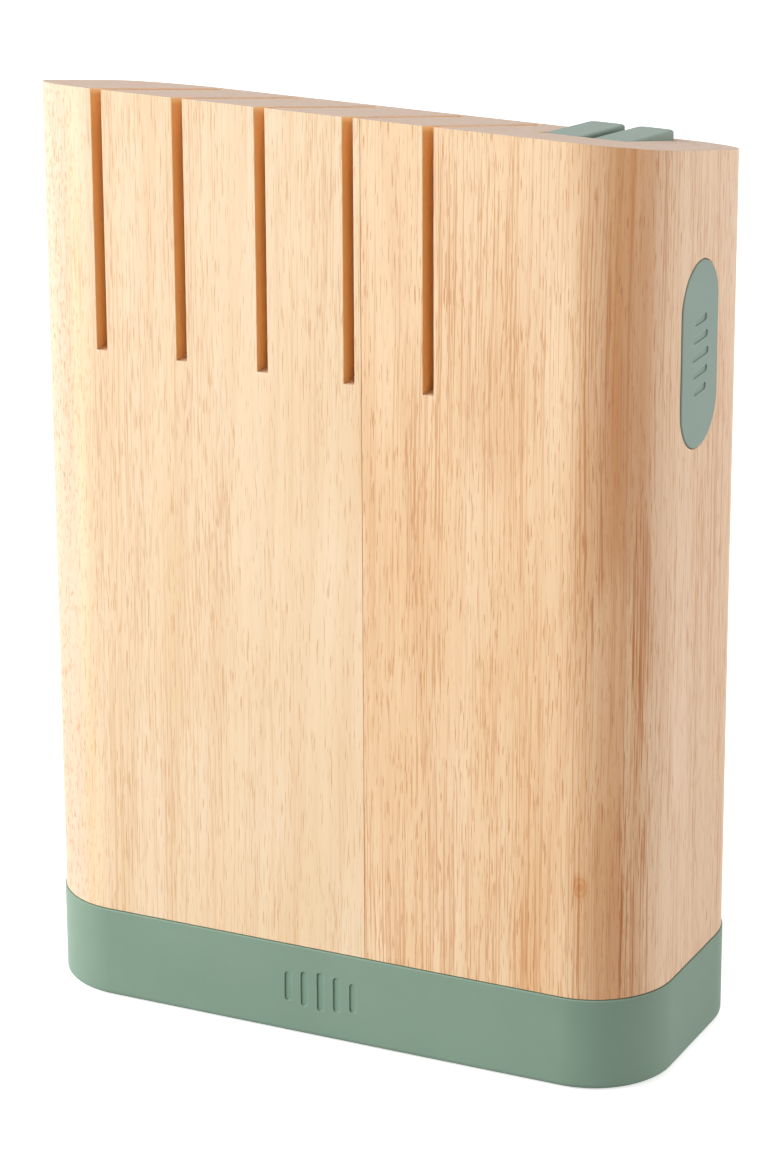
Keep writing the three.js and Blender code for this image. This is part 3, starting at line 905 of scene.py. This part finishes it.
# %% Plate
PLATE_ROUND = mm(0.45)
PLATE_MARK_SCALE = 0.95
bm = plate_shape(0, PLATE_ROUND)
bmesh.ops.transform(bm, matrix=TO_SIDE, verts=bm.verts[:])
turned_up = TO_SIDE @ Matrix.Rotation(math.pi / 2, 4, "Z")
press_mark(bm, turned_up, PLATE_MARK_SCALE)
finish_piece(bm, "sage_plate", "block", "green_plastic", pale_sage, "side_plate")

# %% [markdown]
# ## Sharpener
#
# The pull-through sharpener drops into the pocket. It is moulded in two halves that are
# screwed together: each has a tall cheek, and a foot that reaches under the groove.
# Two ceramic rods cross low in the groove, and the blade is drawn through their V. A rod
# is a plain round bar with eased ends, tilted to where the CAD has it.

# %% Rods
ROD_TILT = math.radians(20)
ROD_LENGTH = mm(22)
ROD_RADIUS = mm(2)
SEAT_FIT = mm(0.3)


def rod_place(name, side):
    """Where a rod stands: the middle of its node's box, tilted to one side."""
    low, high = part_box(name)
    return Matrix.Translation((low + high) / 2) @ Matrix.Rotation(side * ROD_TILT, 4, "Y")


rod_places = [("ceramic_rod_front", rod_place("ceramic_rod_front", -1)),
              ("ceramic_rod_rear", rod_place("ceramic_rod_rear", 1))]
for name, matrix in rod_places:
    bm = ease(round_bar(ROD_RADIUS, ROD_LENGTH), EDGE_ROUND, segments=3)
    bmesh.ops.transform(bm, matrix=matrix, verts=bm.verts[:])
    finish_piece(bm, name.replace("ceramic_rod", "hone_rod"), "sharpener", "ceramic",
                 white_ceramic, name)

# %% [markdown]
# ## Screws
#
# Two countersunk screws hold the halves together. A screw is round, so its half outline
# is spun about its own axis, and the cross in its head is two bars cut out of it. The
# same outline, grown a little, cuts the seat that the screw sits in.

# %% Screws
HEAD_RADIUS = mm(2.7)
HEAD_LENGTH = mm(1.8)
HEAD_LAND = mm(0.4)
SHANK_RADIUS = mm(1.4)
SCREW_LENGTH = mm(20)
CROSS_REACH = mm(1.5)
CROSS_HALF = mm(0.32)
CROSS_DEPTH = mm(0.9)
CROSS_EDGE = mm(0.08)


def screw_shape(grow):
    """A countersunk screw along X, with the face of its head at the origin."""
    bm = bmesh.new()
    shank, head = SHANK_RADIUS + grow, HEAD_RADIUS + grow
    profile = [(-SCREW_LENGTH - grow, 0), (-SCREW_LENGTH - grow, shank), (-HEAD_LENGTH, shank),
               (-HEAD_LAND, head), (grow, head), (grow, 0)]
    points = [bm.verts.new((x, 0, radius)) for x, radius in profile]
    line = [bm.edges.new(pair) for pair in zip(points, points[1:])]
    bmesh.ops.spin(bm, geom=points + line, cent=(0, 0, 0), axis=(1, 0, 0), angle=2 * math.pi,
                   steps=40, use_merge=True)
    bmesh.ops.remove_doubles(bm, verts=bm.verts[:], dist=1e-6)
    bmesh.ops.recalc_face_normals(bm, faces=bm.faces[:])
    return bm


screw_places = []
for name in ("screw_front", "screw_rear"):
    low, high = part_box(name)
    screw_places.append((name, Vector((high.x, (low.y + high.y) / 2, (low.z + high.z) / 2))))
for name, middle in screw_places:
    bm = screw_shape(0)
    for across, up in ((CROSS_HALF, CROSS_REACH), (CROSS_REACH, CROSS_HALF)):
        combine(bm, brick((-CROSS_DEPTH, -across, -up), (OVERCUT, across, up)))
    ease(bm, CROSS_EDGE, lambda edge: all(vert.co.x > -NEAR for vert in edge.verts))
    bmesh.ops.translate(bm, vec=middle, verts=bm.verts[:])
    finish_piece(bm, name.replace("screw", "cross_screw"), "sharpener", "screw_steel", steel, name)

# %% [markdown]
# ## The two halves
#
# But for the screws' seats the halves are mirror images, so one loop makes both. Each
# cheek is a lofted bar whose top is sliced to the sharpener's slope and then rounded, and
# the foot is a brick that is joined on. The rods and the screws are then cut out of both
# with a little room round them.

# %% The two halves
CHEEK_CORNER = mm(2.5)
CHEEK_WIDTH = mm(11.5)
CHEEK_ROUND = mm(0.7)
FOOT_HEIGHT = mm(20)
FOOT_RAISE = mm(0.01)   # keeps the foot's underside off the cheek's, for a clean join
SHARPENER_FALL = math.radians(7.3)
CHEEK_TOP = Vector((0, math.sin(SHARPENER_FALL), math.cos(SHARPENER_FALL)))
for name, side in (("sharpener_half_left", -1), ("sharpener_half_right", 1)):
    low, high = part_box(name)
    length = high.y - low.y
    outside = high.x if side > 0 else low.x
    inside = low.x if side > 0 else high.x
    cheek_middle = outside - side * CHEEK_WIDTH / 2
    cheek = (CHEEK_WIDTH, length, CHEEK_CORNER)
    bm = loft([(*cheek, low.z), (*cheek, high.z + OVERCUT)])
    bmesh.ops.translate(bm, vec=(cheek_middle, (low.y + high.y) / 2, 0), verts=bm.verts[:])
    slice_off(bm, Vector((0, low.y, high.z)), CHEEK_TOP)
    ease(bm, CHEEK_ROUND, segments=3)
    sides = sorted((inside, cheek_middle))
    combine(bm, brick((sides[0], low.y + CHEEK_CORNER, low.z + FOOT_RAISE),
                      (sides[1], high.y - CHEEK_CORNER, low.z + FOOT_HEIGHT)), "UNION")
    for rod_name, matrix in rod_places:
        hole = round_bar(ROD_RADIUS + SEAT_FIT, ROD_LENGTH + 2 * SEAT_FIT)
        bmesh.ops.transform(hole, matrix=matrix, verts=hole.verts[:])
        combine(bm, hole)
    for screw_name, middle in screw_places:
        hole = screw_shape(SEAT_FIT)
        bmesh.ops.translate(hole, vec=middle, verts=hole.verts[:])
        combine(bm, hole)
    finish_piece(bm, name.replace("half", "cheek"), "sharpener", "green_plastic", pale_sage, name)
